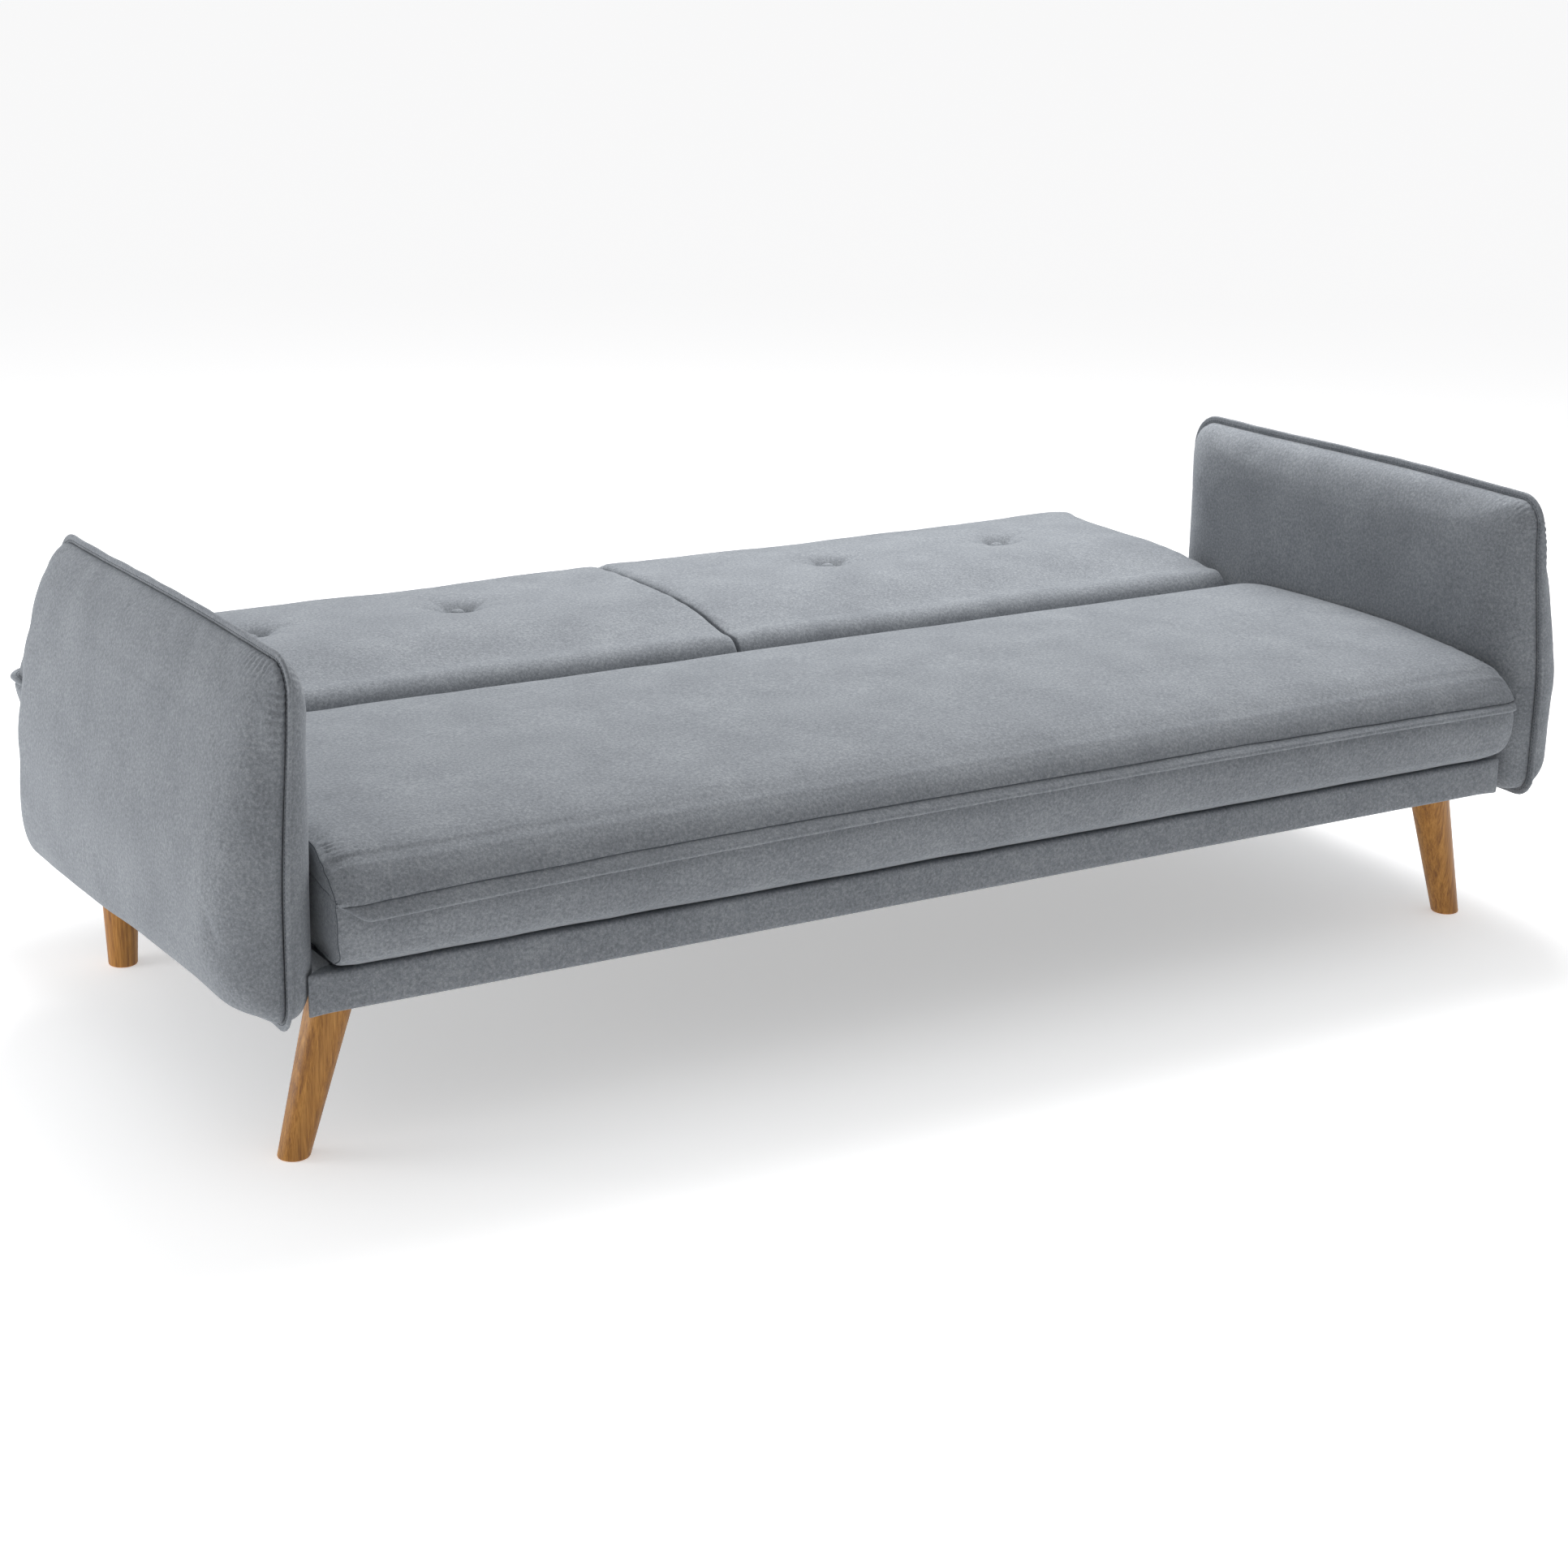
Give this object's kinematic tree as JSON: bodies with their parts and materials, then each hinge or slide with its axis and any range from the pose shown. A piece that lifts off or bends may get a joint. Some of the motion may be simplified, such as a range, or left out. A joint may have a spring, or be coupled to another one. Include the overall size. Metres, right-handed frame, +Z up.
{
  "type": "futon sofa bed",
  "caption": "Upholstered sofa bed with a fixed seat, split backs that fold down level with it, puffed arms and tapered wooden legs.",
  "frame": {"origin": "middle of the footprint on the floor, as a flat bed", "axes": "+X along the bed, to the right as seen from the front; +Y to the rear; +Z up"},
  "size_m": [2.1172, 1.211, 0.666],
  "materials": {
    "upholstery": "brushed blue-grey wool-look weave",
    "oiled_leg_wood": "oiled golden brown hardwood",
    "frame_timber": "planed pine and plywood, unfinished",
    "zinc_steel": "bright zinc plated",
    "dust_cloth": "black spunbonded cloth"
  },
  "bodies": {
    "base": {"seat_cushion": "upholstery", "front_rail": "upholstery", "rear_rail": "upholstery", "centre_joist": "frame_timber", "dust_cloth": "dust_cloth", "left_end_rail": "frame_timber", "left_cross_rail": "frame_timber", "left_slat_1": "frame_timber", "left_slat_2": "frame_timber", "left_slat_3": "frame_timber", "left_arm_inner_pad": "upholstery", "left_arm_outer_pad": "upholstery", "left_arm_welt": "upholstery", "left_arm_board": "frame_timber", "left_arm_front_bolt": "zinc_steel", "left_arm_rear_bolt": "zinc_steel", "front_left_leg": "oiled_leg_wood", "front_left_leg_plate": "zinc_steel", "front_left_hanger_bolt": "zinc_steel", "rear_left_leg": "oiled_leg_wood", "rear_left_leg_plate": "zinc_steel", "rear_left_hanger_bolt": "zinc_steel", "left_inner_fixed_leaf": "zinc_steel", "left_inner_hinge_pin": "zinc_steel", "left_outer_fixed_leaf": "zinc_steel", "left_outer_hinge_pin": "zinc_steel", "right_end_rail": "frame_timber", "right_cross_rail": "frame_timber", "right_slat_1": "frame_timber", "right_slat_2": "frame_timber", "right_slat_3": "frame_timber", "right_arm_inner_pad": "upholstery", "right_arm_outer_pad": "upholstery", "right_arm_welt": "upholstery", "right_arm_board": "frame_timber", "right_arm_front_bolt": "zinc_steel", "right_arm_rear_bolt": "zinc_steel", "front_right_leg": "oiled_leg_wood", "front_right_leg_plate": "zinc_steel", "front_right_hanger_bolt": "zinc_steel", "rear_right_leg": "oiled_leg_wood", "rear_right_leg_plate": "zinc_steel", "rear_right_hanger_bolt": "zinc_steel", "right_inner_fixed_leaf": "zinc_steel", "right_inner_hinge_pin": "zinc_steel", "right_outer_fixed_leaf": "zinc_steel", "right_outer_hinge_pin": "zinc_steel"},
    "left_back": {"left_back_cushion": "upholstery", "left_back_board": "frame_timber", "left_button_1": "upholstery", "left_button_2": "upholstery", "left_inner_moving_leaf": "zinc_steel", "left_outer_moving_leaf": "zinc_steel"},
    "right_back": {"right_back_cushion": "upholstery", "right_back_board": "frame_timber", "right_button_1": "upholstery", "right_button_2": "upholstery", "right_inner_moving_leaf": "zinc_steel", "right_outer_moving_leaf": "zinc_steel"}
  },
  "joints": [
    {"name": "left_back_recline", "type": "hinge", "parent": "base", "child": "left_back", "pos_m": [0, 0.1435, 0.352], "axis": [1, 0, 0], "range_deg": [0, 80]},
    {"name": "right_back_recline", "type": "hinge", "parent": "base", "child": "right_back", "pos_m": [0, 0.1435, 0.352], "axis": [1, 0, 0], "range_deg": [0, 80]}
  ]
}
